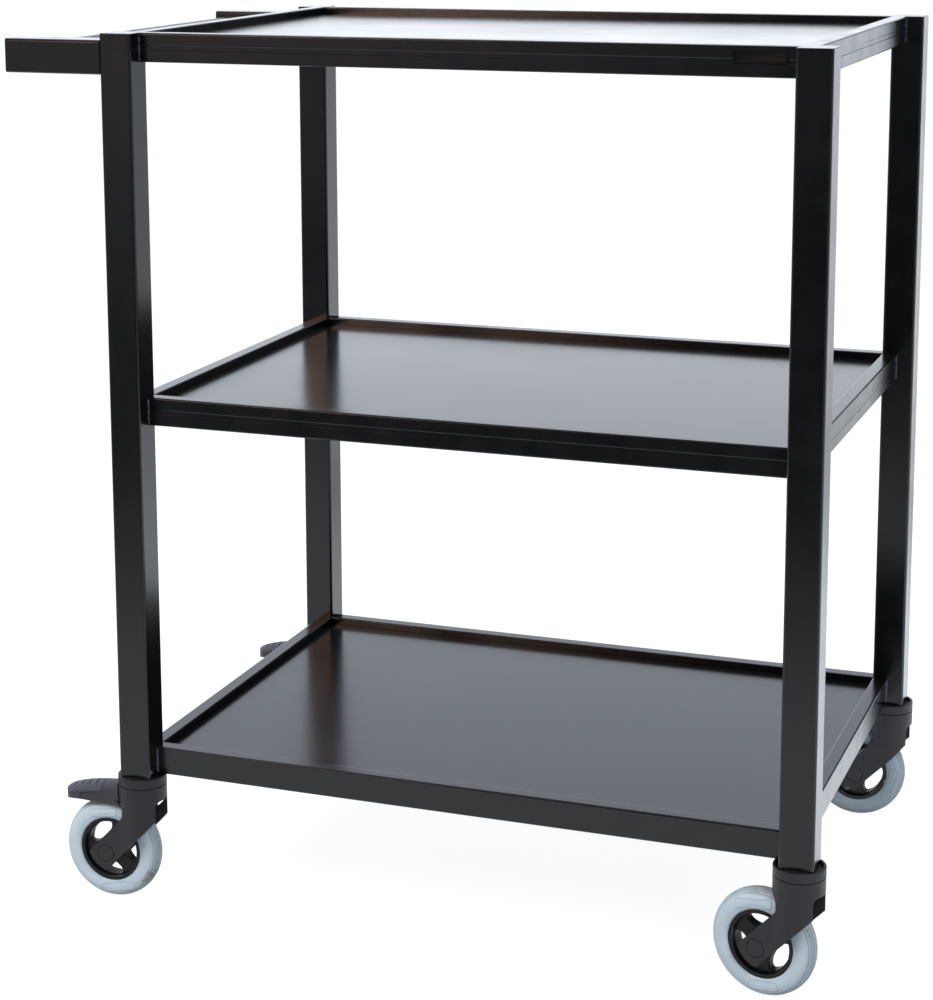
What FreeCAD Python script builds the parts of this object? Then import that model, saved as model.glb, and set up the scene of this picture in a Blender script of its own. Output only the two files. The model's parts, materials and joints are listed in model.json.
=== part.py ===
import FreeCAD, Part
import math
import os

# Serving cart: a welded tube frame with three inset shelves, a push handle at the
# left end and four swivel castors, two of them with brake pedals.
# Millimetres. X runs along the cart, Y across it (the front is -Y), Z up.
# The origin is on the floor, under the middle of the whole outline.

# Frame
frame_length = 850.0
frame_width = 610.0
frame_height = 1061.0
middle_shelf_height = 631.0
bottom_shelf_height = 197.0

post_size = 40.0
post_wall = 2.0
post_corner = 3.0
cap_thickness = 2.0
cap_edge = 0.9

rail_height = 34.0
rail_thickness = 18.0
rail_wall = 1.5
rail_corner = 2.0
groove_depth = 0.4
groove_width = 6.4
groove_side_width = 0.9
groove_centre_share = 0.5

# Shelf sheets and the ledges that carry them
shelf_drop = 9.5
shelf_thickness = 4.0
shelf_edge = 0.6
shelf_clearance = 0.5
ledge_width = 14.0
ledge_thickness = 3.0

# Weld beads where the rails meet the posts
bead_radius = 1.8

# Handle
arm_length = 124.0
arm_drop = 8.0
grip_diameter = 25.0
grip_wall = 1.5
grip_inset = 19.0

# Bare plate on the front of the top frame
plate_length = 59.4
plate_height = 14.7
plate_thickness = 1.2
plate_corner = 2.0
plate_rim = 1.6
plate_rim_depth = 0.4
plate_from_post = 12.4
plate_centre_share = 0.335

# Castors, measured in their own frame: the swivel axis stands at x = 0 and the
# wheel trails towards -x
wheel_diameter = 125.0
tyre_width = 30.0
axle_offset = 40.0
head_radius = 29.5
head_top = 150.0
cover_radius = 29.6
cover_bottom = 150.95
cover_rim_top = 162.0
cover_floor = 158.0
cover_wall = 3.0
cover_edge = 0.8
seat_size = 38.0
slot_width = 32.0
slot_top = 132.0
slot_corner = 7.0
swivel_rest = {
    "front_left": 0.0,
    "front_right": -13.2,
    "rear_left": 0.0,
    "rear_right": 0.0,
}
braked = ("front_left", "rear_left")

# Fork arms, seen from the side: a slanted bar round the line from head to axle
arm_angle = 46.5
arm_bar_width = 32.0
arm_end_radius = 33.0
arm_end_reach = 15.7
arm_face = 25.3
arm_face_start = 22.0
arm_face_blend = 40.0
arm_root_x = 16.8
arm_root_blend = 8.0
arm_tail = 70.0
shoulder_drop = 19.7
shoulder_blend = 12.3
arm_root_rise = 9.0

# Swivel: stem, bearing and socket
stem_radius = 5.95
stem_head_radius = 9.0
stem_head_height = 4.0
stem_head_gap = 0.3
stem_top = 197.0
stem_play = 0.05
bearing_radius = 14.95
bearing_floor = 139.0
bearing_lift = 0.3
bearing_play = 0.05
socket_height = 38.0
socket_clearance = 0.3
stem_socket_gap = 0.3

# Axle
axle_radius = 4.0
axle_play = 0.05
axle_head_inset = 2.6
axle_cover_radius = 10.3
axle_cover_thickness = 2.2
axle_cover_gap = 0.65
axle_cover_sink = 0.15

# Hub
rim_radius = 38.0
rim_wall = 2.5
rim_half_width = 11.0
rim_lip_radius = 39.7
rim_lip_thickness = 1.4
web_half_width = 6.4
boss_radius = 13.0
boss_half_width = 15.0
window_count = 3
window_centre = 24.9
window_length = 41.4
window_width = 17.4
window_edge = 0.7
window_start_angle = {
    "front_left": 12.8,
    "front_right": 88.1,
    "rear_left": 20.0,
    "rear_right": 91.0,
}
bush_radius = 7.0
bush_flange_radius = 9.0
bush_flange = 0.5
bush_length = 12.0
bush_press_gap = 0.02

# Tyre section, half of it from the rim out to the tread
tyre_seat_gap = 0.05
tyre_bead_radius = 40.2
tyre_bead_half = 12.6
tyre_belly_radius = 49.0
tyre_shoulder_radius = 56.5
tyre_shoulder_half = 13.0
tyre_tread_half = 1.5
tyre_crown_radius = 60.3
tyre_crown_half = 8.4
tread_groove_depth = 0.5
tread_groove_width = 0.8
tread_groove_places = (3.9, 7.4)

# Brake pedal, in the castor's frame. Each section gives its place along the
# pedal, the height of its lower edge, of its side edge and of its crown.
pivot_x = -21.0
pivot_z = 137.0
pivot_radius = 2.5
pivot_play = 0.08
pivot_socket_depth = 3.0
tongue_half = 11.6
tongue_radius = 4.3
tongue_side_gap = 0.4
tongue_root = 44.0
pocket_back = 4.8
pocket_rise = 7.0
pedal_half = 19.5
pedal_wall = 2.4
pedal_sections = (
    (-20.0, 121.2, 140.6, 149.0),
    (-50.0, 124.2, 138.6, 146.5),
    (-64.0, 124.6, 137.4, 144.6),
    (-78.0, 125.0, 135.6, 141.8),
    (-101.0, 121.3, 130.6, 133.8),
)
pedal_tip = -99.5
pedal_tip_corner = 15.0
pedal_head_gap = 1.3
pedal_foot_x = -20.6
pedal_foot_drop = 1.0
seam_x = -50.0
seam_sweep = 4.0
seam_gap = 0.7
pad_thickness = 2.2
pad_gap = 0.1
pad_borders = (1.4, 2.2, 2.9)
pad_wrap_x = -76.0
pad_wrap_corner = 2.5
rib_count = 4
rib_pitch = 10.1
rib_near = 9.0
rib_far = 22.0
rib_width = 1.3
rib_depth = 1.2
rib_slant = 9.0
shoe_half = 9.0
shoe_bottom = 128.1
shoe_start = -38.0
shoe_length = 9.0
peep_x = 11.6
peep_z = 118.2
peep_length = 20.2
peep_width = 4.8
peep_end_radius = 2.3
peep_lean = 45.0

overrun = 5.0
same_point = 0.0001

# Sizes and places that follow from those above
half_length = frame_length / 2
half_width = frame_width / 2
swivel_x = half_length - post_size / 2
swivel_y = half_width - post_size / 2
outline_left = -half_length - arm_length
outline_right = swivel_x + cover_radius
centre_x = -(outline_left + outline_right) / 2
post_bottom = bottom_shelf_height - rail_height
shelf_levels = {
    "top": frame_height,
    "middle": middle_shelf_height,
    "bottom": bottom_shelf_height,
}
grooved = ("top", "middle")
wheel_radius = wheel_diameter / 2
axle_height = wheel_radius
slot_half = slot_width / 2

PLANES = {
    "xy": lambda u, v, w: FreeCAD.Vector(u, v, w),
    "xz": lambda u, v, w: FreeCAD.Vector(u, w, v),
    "yz": lambda u, v, w: FreeCAD.Vector(w, u, v),
}
NORMALS = {
    "xy": FreeCAD.Vector(0, 0, 1),
    "xz": FreeCAD.Vector(0, 1, 0),
    "yz": FreeCAD.Vector(1, 0, 0),
}
X_AXIS = FreeCAD.Vector(1, 0, 0)
Y_AXIS = FreeCAD.Vector(0, 1, 0)
Z_AXIS = FreeCAD.Vector(0, 0, 1)
ORIGIN = FreeCAD.Vector(0, 0, 0)


# Shapes

def outline(corners, plane, level):
    """Closed wire through corners (u, v, radius), with an arc at each rounded one."""
    edges = []
    last = None
    first = None
    count = len(corners)
    for i in range(count):
        u, v, radius = corners[i]
        here = FreeCAD.Vector(u, v, 0)
        before = FreeCAD.Vector(corners[i - 1][0], corners[i - 1][1], 0)
        after = FreeCAD.Vector(corners[(i + 1) % count][0], corners[(i + 1) % count][1], 0)
        if radius > 0:
            back = (before - here).normalize()
            ahead = (after - here).normalize()
            half_angle = back.getAngle(ahead) / 2
            reach = radius / math.tan(half_angle)
            inward = (back + ahead).normalize()
            start = here + back * reach
            middle = here + inward * (radius / math.sin(half_angle) - radius)
            end = here + ahead * reach
        else:
            start = here
            end = here
        start3 = PLANES[plane](start.x, start.y, level)
        end3 = PLANES[plane](end.x, end.y, level)
        if last is None:
            first = start3
        elif last.distanceToPoint(start3) > same_point:
            edges.append(Part.LineSegment(last, start3).toShape())
        if radius > 0:
            middle3 = PLANES[plane](middle.x, middle.y, level)
            edges.append(Part.Arc(start3, middle3, end3).toShape())
        last = end3
    if last.distanceToPoint(first) > same_point:
        edges.append(Part.LineSegment(last, first).toShape())
    return Part.Wire(edges)


def prism(corners, plane, low, high):
    """The outline's face, drawn out from low to high along the plane's normal."""
    face = Part.Face(outline(corners, plane, low))
    return face.extrude(NORMALS[plane] * (high - low))


def rectangle(u0, v0, u1, v1, radius=0):
    return [(u0, v0, radius), (u1, v0, radius), (u1, v1, radius), (u0, v1, radius)]


def block(x0, y0, z0, x1, y1, z1):
    return Part.makeBox(x1 - x0, y1 - y0, z1 - z0, FreeCAD.Vector(x0, y0, z0))


def disc(radius, low, high, x=0, y=0):
    return Part.makeCylinder(radius, high - low, FreeCAD.Vector(x, y, low), Z_AXIS)


def rod(radius, x, z, low, high):
    """Round bar along Y."""
    return Part.makeCylinder(radius, high - low, FreeCAD.Vector(x, low, z), Y_AXIS)


def oval_bar(width, length, end_radius, low, high):
    """Bar along Z whose section is an oval of four tangent arcs, longest along Y."""
    end_shift = length / 2 - end_radius
    spare = width / 2 - end_radius
    side_shift = (end_shift ** 2 - spare ** 2) / (2 * spare)
    side_radius = width / 2 + side_shift
    turn = math.atan2(end_shift, side_shift)
    u = side_radius * math.cos(turn) - side_shift
    v = side_radius * math.sin(turn)
    edges = []
    for sign in (1, -1):
        start = FreeCAD.Vector(sign * u, -sign * v, low)
        end = FreeCAD.Vector(sign * u, sign * v, low)
        edges.append(Part.Arc(start, FreeCAD.Vector(sign * width / 2, 0, low), end).toShape())
        across = FreeCAD.Vector(-sign * u, sign * v, low)
        edges.append(Part.Arc(end, FreeCAD.Vector(0, sign * length / 2, low), across).toShape())
    return Part.Face(Part.Wire(edges)).extrude(Z_AXIS * (high - low))


def box_tube(plane, low, high, u0, v0, u1, v1, wall, corner):
    outer = prism(rectangle(u0, v0, u1, v1, corner), plane, low, high)
    inner = prism(rectangle(u0 + wall, v0 + wall, u1 - wall, v1 - wall, max(corner - wall, 0)),
                  plane, low - overrun, high + overrun)
    return outer.cut(inner)


def group(solids):
    return Part.makeCompound(solids)


def save(shape, name):
    shape.exportStep("parts/%s.step" % name)


def at_centre(shape):
    """Moves a shape drawn about the middle of the frame to the cart's own origin."""
    moved = shape.copy()
    moved.translate(FreeCAD.Vector(centre_x, 0, 0))
    return moved


def corner_sign(name):
    x_sign = -1 if name.endswith("left") else 1
    y_sign = -1 if name.startswith("front") else 1
    return x_sign, y_sign


# Frame

def post(name):
    x_sign, y_sign = corner_sign(name)
    x = x_sign * swivel_x
    y = y_sign * swivel_y
    half = post_size / 2
    return box_tube("xy", post_bottom, frame_height - cap_thickness,
                    x - half, y - half, x + half, y + half, post_wall, post_corner)


def post_cap(name):
    x_sign, y_sign = corner_sign(name)
    x = x_sign * swivel_x
    y = y_sign * swivel_y
    half = post_size / 2
    cap = prism(rectangle(x - half, y - half, x + half, y + half, post_corner), "xy",
                frame_height - cap_thickness, frame_height)
    top_edges = [e for e in cap.Edges if all(v.Z > frame_height - cap_edge for v in e.Vertexes)]
    return cap.makeFillet(cap_edge, top_edges)


def groove_bar(plane, face, sign, middle, span):
    """Space of the shallow groove with sloping sides down a rail's outer face."""
    half = groove_width / 2
    wide = half + overrun * groove_side_width / groove_depth
    narrow = half - groove_side_width
    floor = face - sign * groove_depth
    outside = face + sign * overrun
    return prism([(floor, middle - narrow, 0), (outside, middle - wide, 0),
                  (outside, middle + wide, 0), (floor, middle + narrow, 0)],
                 plane, -span - overrun, span + overrun)


def rail(side, level):
    """One rail of a shelf frame. Its inner face is flush with the posts' inner faces."""
    top = shelf_levels[level]
    bottom = top - rail_height
    if side in ("front", "rear"):
        plane, sign = "yz", -1 if side == "front" else 1
        inner, span = half_width - post_size, half_length - post_size
    else:
        plane, sign = "xz", -1 if side == "left" else 1
        inner, span = half_length - post_size, half_width - post_size
    outer = inner + rail_thickness
    low, high = sorted((sign * inner, sign * outer))
    body = box_tube(plane, -span, span, low, bottom, high, top, rail_wall, rail_corner)
    if level in grooved:
        middle = top - rail_height * groove_centre_share
        body = body.cut(groove_bar(plane, sign * outer, sign, middle, span))
    return body


def shelf(level):
    top = shelf_levels[level] - shelf_drop
    half_x = half_length - post_size - shelf_clearance
    half_y = half_width - post_size - shelf_clearance
    sheet = block(-half_x, -half_y, top - shelf_thickness, half_x, half_y, top)
    rim = [e for e in sheet.Edges if all(v.Z > top - shelf_edge for v in e.Vertexes)]
    return sheet.makeFillet(shelf_edge, rim)


def ledges(level):
    """Flat strips inside the rails, under the sheet's four edges."""
    top = shelf_levels[level] - shelf_drop - shelf_thickness
    bottom = top - ledge_thickness
    half_x = half_length - post_size
    half_y = half_width - post_size
    strips = []
    for sign in (-1, 1):
        y0, y1 = sorted((sign * half_y, sign * (half_y - ledge_width)))
        strips.append(block(-half_x, y0, bottom, half_x, y1, top))
        x0, x1 = sorted((sign * half_x, sign * (half_x - ledge_width)))
        strips.append(block(x0, ledge_width - half_y, bottom, x1, half_y - ledge_width, top))
    return strips


def bead(x, y, x_way, y_way, bottom, top):
    """Quarter-round run of weld down the inside corner at x, y, on the side that the ways point to."""
    x0, x1 = sorted((x, x + x_way * bead_radius))
    y0, y1 = sorted((y, y + y_way * bead_radius))
    return disc(bead_radius, bottom, top, x, y).common(block(x0, y0, bottom, x1, y1, top))


def weld_beads(name):
    """Runs of weld down the outer faces of the rails at one post."""
    x_sign, y_sign = corner_sign(name)
    beads = []
    for level in shelf_levels:
        top = shelf_levels[level] - rail_corner
        bottom = shelf_levels[level] - rail_height + rail_corner
        inner_x = half_length - post_size
        inner_y = half_width - post_size
        outer_x = inner_x + rail_thickness
        outer_y = inner_y + rail_thickness
        beads.append(bead(x_sign * inner_x, y_sign * outer_y, -x_sign, y_sign, bottom, top))
        beads.append(bead(x_sign * outer_x, y_sign * inner_y, x_sign, -y_sign, bottom, top))
    return beads


# Handle

arm_top = frame_height - arm_drop
arm_bottom = arm_top - post_size
grip_x = -half_length - arm_length + grip_inset
grip_z = (arm_top + arm_bottom) / 2


def handle_arm(y_sign):
    y = y_sign * swivel_y
    half = post_size / 2
    return box_tube("yz", -half_length - arm_length + cap_thickness, -half_length,
                    y - half, arm_bottom, y + half, arm_top, post_wall, post_corner)


def arm_cap(y_sign):
    y = y_sign * swivel_y
    half = post_size / 2
    end = -half_length - arm_length
    cap = prism(rectangle(y - half, arm_bottom, y + half, arm_top, post_corner), "yz",
                end, end + cap_thickness)
    end_edges = [e for e in cap.Edges if all(v.X < end + cap_edge for v in e.Vertexes)]
    return cap.makeFillet(cap_edge, end_edges)


def grip():
    half = swivel_y - post_size / 2
    outer = rod(grip_diameter / 2, grip_x, grip_z, -half, half)
    return outer.cut(rod(grip_diameter / 2 - grip_wall, grip_x, grip_z, -half - overrun, half + overrun))


def name_plate():
    """A bare plate with a thin raised border."""
    face = -(half_width - post_size + rail_thickness)
    right = half_length - post_size - plate_from_post
    middle = frame_height - rail_height * plate_centre_share
    x0 = right - plate_length
    z0 = middle - plate_height / 2
    z1 = middle + plate_height / 2
    plate = prism(rectangle(x0, z0, right, z1, plate_corner), "xz", face - plate_thickness, face)
    recess = prism(rectangle(x0 + plate_rim, z0 + plate_rim, right - plate_rim, z1 - plate_rim,
                             plate_corner - plate_rim),
                   "xz", face - plate_thickness - overrun, face - plate_thickness + plate_rim_depth)
    return plate.cut(recess)


# Castors, in their own frame

def stem_socket():
    """Square plug in the foot of a post, bored for the stem."""
    half = post_size / 2 - post_wall - socket_clearance
    corner = post_corner - post_wall
    plug = prism(rectangle(-half, -half, half, half, corner), "xy", post_bottom, post_bottom + socket_height)
    return plug.cut(disc(stem_radius + stem_socket_gap, post_bottom - overrun,
                         post_bottom + socket_height + overrun))


def stem():
    head_high = slot_top - stem_head_gap
    head = disc(stem_head_radius, head_high - stem_head_height, head_high)
    return head.fuse(disc(stem_radius, head_high - stem_head_height, stem_top)).removeSplitter()


def bearing():
    ring = disc(bearing_radius, bearing_floor + bearing_lift, cover_bottom)
    return ring.cut(disc(stem_radius + stem_play, bearing_floor - overrun, cover_bottom + overrun))


def top_cover():
    """Dished ring that closes the castor's head, with a square seat for the post."""
    body = disc(cover_radius, cover_bottom, cover_rim_top)
    rim = [e for e in body.Edges if all(v.Z > cover_rim_top - cover_edge for v in e.Vertexes)]
    body = body.makeFillet(cover_edge, rim)
    body = body.cut(disc(cover_radius - cover_wall, cover_floor, cover_rim_top + overrun))
    half = seat_size / 2
    seat = prism(rectangle(-half, -half, half, half, post_corner), "xy", cover_bottom, post_bottom)
    bore = disc(stem_radius + stem_socket_gap, cover_bottom - overrun, post_bottom + overrun)
    return body.fuse(seat).cut(bore).removeSplitter()


def side_outline():
    """Side view of the fork: the head's wall, the hollow shoulder and the slanted arm."""
    angle = math.radians(arm_angle)
    axle_point = FreeCAD.Vector(-axle_offset, axle_height, 0)
    along = FreeCAD.Vector(-math.cos(angle), -math.sin(angle), 0)
    across = FreeCAD.Vector(-math.sin(angle), math.cos(angle), 0)
    half = arm_bar_width / 2
    high = axle_point + along * arm_end_reach + across * half
    low = axle_point + along * arm_end_reach - across * half
    # The arm ends in an arc through both corners: its tangents there meet at the tip.
    half_turn = math.asin(half / arm_end_radius)
    tip = axle_point + along * (arm_end_reach + half * math.tan(half_turn))
    root_z = high.y + (-arm_root_x - high.x) * math.tan(angle)
    rear_x = head_radius + overrun
    rear_z = low.y + (rear_x - low.x) * math.tan(angle)
    shoulder_z = head_top - shoulder_drop
    front_x = -head_radius - overrun
    return [
        (front_x, head_top, 0), (front_x, shoulder_z, 0), (-arm_root_x, shoulder_z, shoulder_blend),
        (-arm_root_x, root_z, arm_root_blend), (high.x, high.y, 0), (tip.x, tip.y, arm_end_radius),
        (low.x, low.y, 0), (rear_x, rear_z, 0), (rear_x, head_top, 0),
    ]


def fork(with_brake):
    head = disc(head_radius, 0, head_top)
    # The arms' outer faces leave the head on a tangent and turn parallel to the wheel.
    start = FreeCAD.Vector(-arm_face_start, arm_face, 0)
    swing = math.acos(head_radius / start.Length)
    touch_angle = math.atan2(start.y, start.x) - swing
    touch_x = head_radius * math.cos(touch_angle)
    touch_y = head_radius * math.sin(touch_angle)
    plan = [
        (-arm_tail, -arm_face, 0), (start.x, -arm_face, arm_face_blend), (touch_x, -touch_y, 0),
        (touch_x, touch_y, 0), (start.x, arm_face, arm_face_blend), (-arm_tail, arm_face, 0),
    ]
    root_low = head_top - shoulder_drop - shoulder_blend - arm_root_rise
    roof = prism([(-arm_tail, 0, 0), (touch_x + overrun, 0, 0), (touch_x + overrun, head_top, 0),
                  (touch_x, head_top, 0), (-arm_root_x, root_low, 0), (-arm_tail, root_low, 0)],
                 "xz", -head_radius, head_radius)
    arms = prism(plan, "xy", 0, head_top).common(roof)
    side = prism(side_outline(), "xz", -head_radius - overrun, head_radius + overrun)
    body = head.fuse(arms).common(side)
    slot = prism([(-slot_half, -overrun, 0), (slot_half, -overrun, 0), (slot_half, slot_top, slot_corner),
                  (-slot_half, slot_top, slot_corner)], "yz", -arm_tail - overrun, head_radius + overrun)
    body = body.cut(slot)
    body = body.cut(disc(bearing_radius + bearing_play, bearing_floor, head_top + overrun))
    body = body.cut(disc(stem_radius + stem_play, slot_top - overrun, head_top))
    reach = arm_face + overrun
    body = body.cut(rod(axle_radius + axle_play, -axle_offset, axle_height, -reach, reach))
    for sign in (-1, 1):
        low, high = sorted((sign * (arm_face - axle_cover_thickness - axle_cover_sink), sign * reach))
        body = body.cut(rod(axle_cover_radius + axle_cover_gap, -axle_offset, axle_height, low, high))
    if with_brake:
        pocket_half = tongue_half + tongue_side_gap
        body = body.cut(block(-head_radius - overrun, -pocket_half, slot_top - overrun,
                              pivot_x + pocket_back, pocket_half, pivot_z + pocket_rise))
        reach = pocket_half + pivot_socket_depth
        body = body.cut(rod(pivot_radius + pivot_play, pivot_x, pivot_z, -reach, reach))
        peep = oval_bar(peep_width, peep_length, peep_end_radius, -head_radius - overrun, overrun - slot_half)
        peep.rotate(ORIGIN, X_AXIS, 90)
        peep.rotate(ORIGIN, Y_AXIS, peep_lean)
        peep.translate(FreeCAD.Vector(peep_x, 0, peep_z))
        body = body.cut(peep)
    return body.removeSplitter()


def axle():
    half = arm_face - axle_head_inset
    return rod(axle_radius, -axle_offset, axle_height, -half, half)


def axle_covers():
    covers = []
    for sign in (-1, 1):
        low, high = sorted((sign * (arm_face - axle_cover_thickness), sign * arm_face))
        covers.append(rod(axle_cover_radius, -axle_offset, axle_height, low, high))
    return covers


def hub(window_start):
    """Rim, web with oval windows and boss, drawn about the axle line and then set in place."""
    rim = disc(rim_radius, -rim_half_width, rim_half_width)
    for sign in (-1, 1):
        low, high = sorted((sign * rim_half_width, sign * (rim_half_width + rim_lip_thickness)))
        rim = rim.fuse(disc(rim_lip_radius, low, high))
    inside = disc(rim_radius - rim_wall, -rim_half_width - rim_lip_thickness - overrun,
                  rim_half_width + rim_lip_thickness + overrun)
    rim = rim.cut(inside)
    web = disc(rim_radius - rim_wall / 2, -web_half_width, web_half_width)
    for i in range(window_count):
        outline = Part.Ellipse(ORIGIN, window_length / 2, window_width / 2).toShape()
        outline.translate(FreeCAD.Vector(0, 0, -web_half_width - overrun))
        window = Part.Face(Part.Wire(outline)).extrude(FreeCAD.Vector(0, 0, 2 * (web_half_width + overrun)))
        window.rotate(ORIGIN, Z_AXIS, 90)
        window.translate(FreeCAD.Vector(window_centre, 0, 0))
        window.rotate(ORIGIN, Z_AXIS, window_start + i * 360.0 / window_count)
        web = web.cut(window)
    rims = [e for e in web.Edges if not isinstance(e.Curve, (Part.Circle, Part.Line))]
    web = web.makeFillet(window_edge, rims)
    boss = disc(boss_radius, -boss_half_width, boss_half_width)
    body = rim.fuse(web).fuse(boss).removeSplitter()
    body = body.cut(disc(bush_radius + bush_press_gap, -boss_half_width - overrun, boss_half_width + overrun))
    return set_on_axle(body)


def set_on_axle(shape):
    """Turns a shape drawn about Z so that it lies about the axle, front face to -y."""
    placed = shape.copy()
    placed.rotate(ORIGIN, X_AXIS, 90)
    placed.translate(FreeCAD.Vector(-axle_offset, 0, axle_height))
    return placed


def bushes():
    pair = []
    for sign in (-1, 1):
        low, high = sorted((sign * (boss_half_width - bush_length), sign * boss_half_width))
        body = disc(bush_radius, low, high)
        low, high = sorted((sign * boss_half_width, sign * (boss_half_width + bush_flange)))
        body = body.fuse(disc(bush_flange_radius, low, high))
        bore = disc(axle_radius + axle_play, -boss_half_width - overrun, boss_half_width + overrun)
        pair.append(set_on_axle(body.cut(bore).removeSplitter()))
    return pair


def tyre():
    """Solid tyre turned from its section, with fine tread lines."""
    def at(radius, side):
        return FreeCAD.Vector(radius, 0, side)

    lip_inner = rim_radius + tyre_seat_gap
    lip_side = rim_half_width - tyre_seat_gap
    lip_outer = rim_lip_radius + tyre_seat_gap
    edges = []
    for sign in (-1, 1):
        pieces = [
            Part.LineSegment(at(lip_inner, 0), at(lip_inner, sign * lip_side)),
            Part.LineSegment(at(lip_inner, sign * lip_side), at(lip_outer, sign * lip_side)),
            Part.LineSegment(at(lip_outer, sign * lip_side), at(tyre_bead_radius, sign * tyre_bead_half)),
            Part.Arc(at(tyre_bead_radius, sign * tyre_bead_half), at(tyre_belly_radius, sign * tyre_width / 2),
                     at(tyre_shoulder_radius, sign * tyre_shoulder_half)),
            Part.Arc(at(tyre_shoulder_radius, sign * tyre_shoulder_half),
                     at(tyre_crown_radius, sign * tyre_crown_half), at(wheel_radius, sign * tyre_tread_half)),
            Part.LineSegment(at(wheel_radius, sign * tyre_tread_half), at(wheel_radius, 0)),
        ]
        edges += [piece.toShape() for piece in pieces]
    section = Part.Face(Part.Wire(Part.__sortEdges__(edges)))
    body = section.revolve(ORIGIN, Z_AXIS, 360)
    for place in tread_groove_places:
        for sign in (-1, 1):
            low, high = sorted((sign * place, sign * (place + tread_groove_width)))
            depth_radius = crown_radius_at(place) - tread_groove_depth
            ring = disc(wheel_radius + overrun, low, high)
            ring = ring.cut(disc(depth_radius, low - overrun, high + overrun))
            body = body.cut(ring)
    return set_on_axle(body)


def crown_radius_at(side):
    """Radius of the tread at a distance from the tyre's middle plane."""
    start = FreeCAD.Vector(wheel_radius, tyre_tread_half, 0)
    middle = FreeCAD.Vector(tyre_crown_radius, tyre_crown_half, 0)
    end = FreeCAD.Vector(tyre_shoulder_radius, tyre_shoulder_half, 0)
    circle = Part.Arc(start, middle, end).toShape().Curve
    centre = circle.Center
    return centre.x + math.sqrt(circle.Radius ** 2 - (side - centre.y) ** 2)


# Brake pedal

def pedal_body(inset, lower):
    """Crowned lever, drawn in from its outer surface by inset and down by lower."""
    wires = []
    half = pedal_half - inset
    for x, low, edge, crown in pedal_sections:
        foot = low - lower
        left = FreeCAD.Vector(x, -half, foot)
        left_edge = FreeCAD.Vector(x, -half, edge - inset)
        top = FreeCAD.Vector(x, 0, crown - inset)
        right_edge = FreeCAD.Vector(x, half, edge - inset)
        right = FreeCAD.Vector(x, half, foot)
        wires.append(Part.Wire([
            Part.LineSegment(left, left_edge).toShape(),
            Part.Arc(left_edge, top, right_edge).toShape(),
            Part.LineSegment(right_edge, right).toShape(),
            Part.LineSegment(right, left).toShape(),
        ]))
    lever = Part.makeLoft(wires, True, False)
    tip = pedal_tip + inset
    plan = prism([(tip, -half, pedal_tip_corner - inset), (0, -half, 0), (0, half, 0),
                  (tip, half, pedal_tip_corner - inset)], "xy", 0, head_top)
    return lever.common(plan)


def pad_region(gap):
    """Space that the pad takes: ahead of the swept seam, down to its border and all of the tip."""
    far = pedal_tip - overrun
    side = pedal_half + overrun
    border = [(x, edge - drop + gap, 0) for (x, low, edge, crown), drop in zip(pedal_sections[1:], pad_borders)]
    wrap_x = pad_wrap_x - gap
    wrap_z = border.pop()[1]
    near_x = seam_x + side
    upper = prism([(far, 0, 0), (wrap_x, 0, 0), (wrap_x, wrap_z, pad_wrap_corner), *reversed(border),
                   (near_x, border[0][1], 0), (near_x, head_top, 0), (far, head_top, 0)], "xz", -side, side)
    seam = seam_x - gap
    sweep = prism([(far, -side, 0), (seam + seam_sweep, -side, 0), (seam - seam_sweep, side, 0),
                   (far, side, 0)], "xy", 0, head_top)
    return upper.common(sweep)


def brake_pedal():
    outer = pedal_body(0, 0)
    region = pad_region(0)
    core = pedal_body(pad_thickness + pad_gap, 0)
    body = outer.cut(region).fuse(core)
    body = body.cut(pedal_body(pad_thickness + pad_gap + pedal_wall, overrun))
    # The lever's end follows the round head with a gap, and below it stops short of the arms
    # and of the blend between them and the head.
    foot_z = head_top - shoulder_drop - pedal_foot_drop
    foot_blend = shoulder_blend - pedal_foot_drop
    body = body.cut(disc(head_radius + pedal_head_gap, foot_z, head_top))
    body = body.cut(block(pedal_foot_x, -head_radius, 0, head_radius, head_radius, foot_z))
    blend_x = pedal_foot_x - foot_blend
    blend_z = foot_z - foot_blend
    corner = block(blend_x, -head_radius, blend_z, pedal_foot_x, head_radius, foot_z)
    body = body.cut(corner.cut(rod(foot_blend, blend_x, blend_z, -head_radius, head_radius)))
    tongue = rod(tongue_radius, pivot_x, pivot_z, -tongue_half, tongue_half)
    arm = block(-tongue_root, -tongue_half, pivot_z - tongue_radius,
                pivot_x, tongue_half, pivot_z + tongue_radius)
    trunnion_half = tongue_half + tongue_side_gap + pivot_socket_depth - pivot_play
    trunnions = rod(pivot_radius, pivot_x, pivot_z, -trunnion_half, trunnion_half)
    return body.fuse(tongue).fuse(arm).fuse(trunnions).removeSplitter()


def brake_pad():
    outer = pedal_body(0, 0)
    pad = outer.common(pad_region(seam_gap)).cut(pedal_body(pad_thickness, overrun))
    for i in range(rib_count):
        x = seam_x - (i + 1) * rib_pitch
        groove = block(-rib_width / 2, -rib_near, 0, rib_width / 2, rib_far, head_top)
        groove.rotate(ORIGIN, Z_AXIS, rib_slant)
        groove.translate(FreeCAD.Vector(x, 0, 0))
        pad = pad.cut(groove.cut(pedal_body(rib_depth, overrun)))
    return pad


def brake_shoe():
    """Block under the lever that presses on the tread."""
    top = pivot_z - tongue_radius
    return block(shoe_start, -shoe_half, shoe_bottom, shoe_start + shoe_length, shoe_half, top)


def place_castor(shape, name):
    x_sign, y_sign = corner_sign(name)
    placed = shape.copy()
    placed.rotate(ORIGIN, Z_AXIS, swivel_rest[name])
    placed.translate(FreeCAD.Vector(centre_x + x_sign * swivel_x, y_sign * swivel_y, 0))
    return placed


# Pieces

os.makedirs("parts", exist_ok=True)
corners = tuple(swivel_rest)

for name in corners:
    save(at_centre(post(name)), "post_" + name)

caps = [post_cap(name) for name in corners] + [arm_cap(-1), arm_cap(1)]
save(at_centre(group(caps)), "tube_end_caps")

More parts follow.
